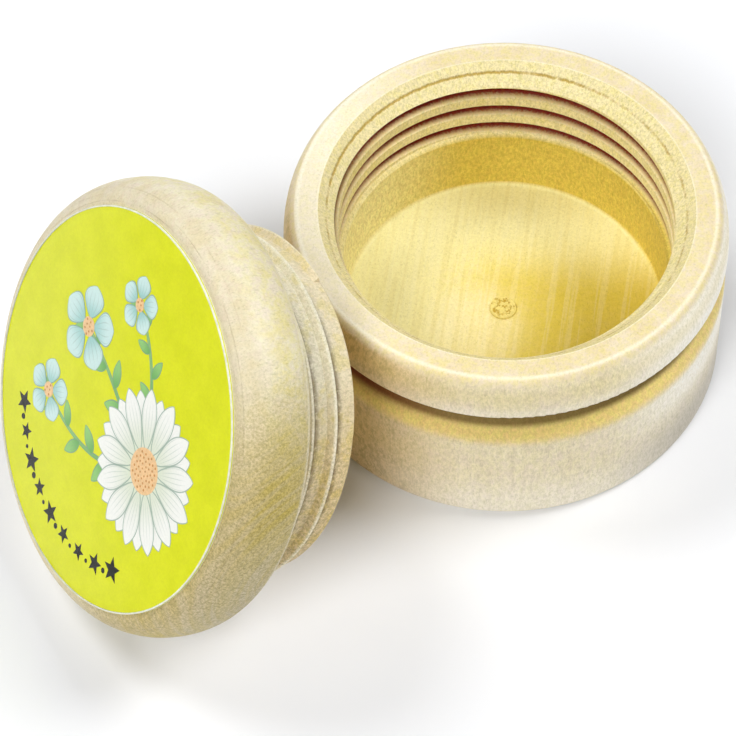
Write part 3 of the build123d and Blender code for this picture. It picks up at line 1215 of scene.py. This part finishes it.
class TOOTHBOX_OT_stars(bpy.types.Operator):
    """Prints the arc of small dark stars and dots"""

    bl_idname = "toothbox.stars"
    bl_label = "Stars"

    def execute(self, context):
        sticker = context.scene.tooth_box_sticker
        dark = make_plain_print("star_ink", sticker.ink)
        values = {
            "Copies": STARS, "Radius": STAR_ARC, "Start": FIRST_STAR, "Step": STAR_STEP,
            "Turn": 0.4, "Size Spread": 0.22, "Seed": sticker.seed, "Material": dark,
        }
        stars = worked(star_mesh(1.15, 0.5, 5, ink(2)), "copies_on_an_arc", values)
        values.update({"Copies": STARS - 1, "Radius": DOT_ARC})
        values.update({"Start": FIRST_STAR + STAR_STEP / 2, "Size Spread": 0.3})
        dots = worked(disc_mesh("dot", 0.28, 0, ink(2), 16), "copies_on_an_arc", values)
        lid_piece("dark_stars", [stars, dots])
        return {"FINISHED"}


def soft_lamp(name, azimuth, elevation, strength, spread):
    """Even soft light from a direction, in degrees round from X and up from the table."""
    lamp = bpy.data.lights.new(name, "SUN")
    lamp.energy = strength
    lamp.angle = spread
    piece = new_object(name, lamp)
    rise = math.radians(elevation)
    towards = Vector(on_circle(math.cos(rise), math.radians(azimuth), math.sin(rise)))
    piece.location = towards
    piece.rotation_euler = towards.to_track_quat("Z", "Y").to_euler()


def seen_directly(graph):
    """Mask of camera, glossy and transmission rays."""
    path = graph.add("ShaderNodeLightPath").outputs
    camera, glossy, through = (
        Value(graph, path[f"Is {kind} Ray"]) for kind in ("Camera", "Glossy", "Transmission")
    )
    return camera.or_more(glossy).or_more(through)


def make_table(stage):
    """Pale table that glows a little where it is seen directly."""
    side = TABLE_HALF
    corners = [(-side, -side, 0), (side, -side, 0), (side, side, 0), (-side, side, 0)]
    mesh = bpy.data.meshes.new("table")
    mesh.from_pydata(corners, [], [(0, 1, 2, 3)])
    table = new_object("table", mesh)
    material, graph, surface = new_material("table_white")
    plain = {"Base Color": colour(stage.table), "Roughness": 0.9, "Specular IOR Level": 0.0}
    glow = seen_directly(graph) * TABLE_GLOW
    graph.fill(surface, {**plain, "Emission Color": (1, 1, 1, 1), "Emission Strength": glow})
    mesh.materials.append(material)


def make_surroundings(stage):
    """World that is white where it is seen directly, and lights the object evenly."""
    world = bpy.data.worlds.new("surroundings")
    world.use_nodes = True
    world.node_tree.nodes.clear()
    sky = Graph(world.node_tree)
    level = sky.out("ShaderNodeMix", {0: seen_directly(sky), 2: stage.world_level, 3: 1.0})
    background = sky.out("ShaderNodeBackground", {"Color": (1, 1, 1, 1), "Strength": level})
    sky.add("ShaderNodeOutputWorld", {"Surface": background})
    bpy.context.scene.world = world


def make_camera():
    """Camera in front, looking down."""
    camera = bpy.data.cameras.new("front_camera")
    camera.lens = CAMERA_LENS
    camera.sensor_width = SENSOR_WIDTH
    holder = new_object("front_camera", camera)
    turn = Matrix((CAMERA_RIGHT, CAMERA_UP, CAMERA_BACK)).transposed()
    holder.matrix_world = Matrix.Translation(CAMERA_PLACE) @ turn.to_4x4()
    bpy.context.scene.camera = holder


class TOOTHBOX_OT_stage(bpy.types.Operator):
    """Adds the table, the lamps and the camera"""

    bl_idname = "toothbox.stage"
    bl_label = "Stage"

    def execute(self, context):
        stage = context.scene.tooth_box_stage
        make_table(stage)
        for side, azimuth, elevation in LAMPS:
            strength = getattr(stage, side + "_strength")
            soft_lamp(side + "_lamp", azimuth, elevation, strength, stage.spread)
        make_surroundings(stage)
        make_camera()
        context.scene.view_settings.view_transform = "Standard"
        return {"FINISHED"}


class TOOTHBOX_PT_panel(bpy.types.Panel):
    """Buttons for the tooth box's pieces"""

    bl_label = "Tooth Box"
    bl_space_type = "VIEW_3D"
    bl_region_type = "UI"
    bl_category = "Tooth Box"

    def draw(self, context):
        for operator in OPERATORS:
            self.layout.operator(operator.bl_idname)


SETTINGS = {
    "tooth_box_wood": ToothBoxWood,
    "tooth_box_sticker": ToothBoxSticker,
    "tooth_box_stage": ToothBoxStage,
}
OPERATORS = (
    TOOTHBOX_OT_stage,
    TOOTHBOX_OT_jar,
    TOOTHBOX_OT_lid,
    TOOTHBOX_OT_sticker,
    TOOTHBOX_OT_leaves,
    TOOTHBOX_OT_flowers,
    TOOTHBOX_OT_stars,
)


def register():
    for item in (*SETTINGS.values(), *OPERATORS, TOOTHBOX_PT_panel):
        bpy.utils.register_class(item)
    for name, settings in SETTINGS.items():
        setattr(bpy.types.Scene, name, PointerProperty(type=settings))


def unregister():
    for name in SETTINGS:
        delattr(bpy.types.Scene, name)
    for item in reversed((*SETTINGS.values(), *OPERATORS, TOOTHBOX_PT_panel)):
        bpy.utils.unregister_class(item)


def main():
    register()
    for make_group in (
        make_turned_coordinates, make_wood_figure, make_turning_lines,
        make_arc_tree, make_spiral_tree, make_stem_tree,
    ):
        make_group()
    bpy.ops.toothbox.stage()
    bpy.ops.toothbox.jar()
    bpy.ops.toothbox.lid()
    bpy.ops.toothbox.sticker()
    bpy.ops.toothbox.leaves()
    bpy.ops.toothbox.flowers()
    bpy.ops.toothbox.stars()


if __name__ == "__main__":
    main()
